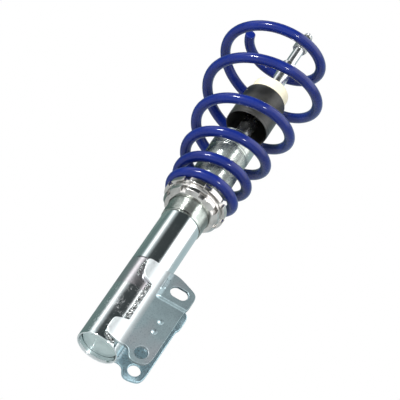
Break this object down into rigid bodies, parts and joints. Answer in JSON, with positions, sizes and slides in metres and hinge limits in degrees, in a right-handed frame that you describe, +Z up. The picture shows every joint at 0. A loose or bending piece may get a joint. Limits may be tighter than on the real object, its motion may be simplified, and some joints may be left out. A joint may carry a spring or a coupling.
{
  "type": "strut assembly",
  "caption": "Coil-over suspension strut: damper tube with a knuckle bracket, threaded sleeve, spring perch and lock ring, coil spring, dust boot, bump stop and piston rod.",
  "frame": {"origin": "centre of the bottom cap's outer face, on the strut's axis", "axes": "+Z up the strut's axis towards the rod's stud; +X from the axis towards the knuckle bracket's ears; +Y completes the right-handed frame"},
  "size_m": [0.1623, 0.1554, 0.6019],
  "materials": {
    "zinc_plate": "bright smooth zinc plate",
    "bracket_zinc": "zinc-plated pressed sheet",
    "weld": "weld bead",
    "sleeve_zinc": "fine rolled thread, zinc plated",
    "machined_aluminium": "turned aluminium",
    "spring_blue": "gloss blue powder coat",
    "chrome": "hard chrome, ground",
    "plated_steel": "zinc-plated nut",
    "machined_steel": "machined steel",
    "bronze": "sintered bronze",
    "black_rubber": "nitrile rubber",
    "boot_plastic": "satin black plastic",
    "cream_foam": "cellular polyurethane",
    "dark_polymer": "filled PTFE or nylon"
  },
  "bodies": {
    "damper_body": {"strut_tube": "zinc_plate", "bottom_cap": "zinc_plate", "threaded_sleeve": "sleeve_zinc", "bracket_plate_front": "bracket_zinc", "bracket_plate_rear": "bracket_zinc", "weld_seam_front": "weld", "weld_seam_rear": "weld", "inner_cylinder": "machined_steel", "base_valve": "machined_steel", "rod_guide": "machined_aluminium", "guide_bush": "bronze", "rod_seal": "black_rubber", "gland_o_ring": "black_rubber", "gland_nut": "sleeve_zinc"},
    "rod": {"piston_rod": "chrome", "piston": "machined_steel", "piston_band": "dark_polymer", "rebound_shims": "machined_steel", "compression_shims": "machined_steel", "piston_nut": "plated_steel", "rebound_bumper": "black_rubber", "spacer_nut": "plated_steel", "top_lock_nut": "plated_steel", "lock_nut_insert": "dark_polymer"},
    "perch": {"spring_perch": "machined_aluminium", "coil_spring": "spring_blue"},
    "lock_ring": {"lock_ring": "machined_aluminium"},
    "boot": {"dust_boot": "boot_plastic", "bump_stop": "cream_foam"}
  },
  "joints": [
    {"name": "rod_slide", "type": "slide", "parent": "damper_body", "child": "rod", "axis": [0, 0, 1], "range_m": [-0.045, 0], "stiffness_N_per_m": 25000, "springref_m": 0.004, "deforming": ["coil_spring"]},
    {"name": "boot_slide", "type": "slide", "parent": "damper_body", "child": "boot", "axis": [0, 0, 1], "range_m": [-0.045, 0.008]},
    {"name": "perch_adjust", "type": "slide", "parent": "damper_body", "child": "perch", "axis": [0, 0, 1], "range_m": [0, 0.02]},
    {"name": "lock_ring_adjust", "type": "slide", "parent": "damper_body", "child": "lock_ring", "axis": [0, 0, 1], "range_m": [-0.02, 0]}
  ]
}
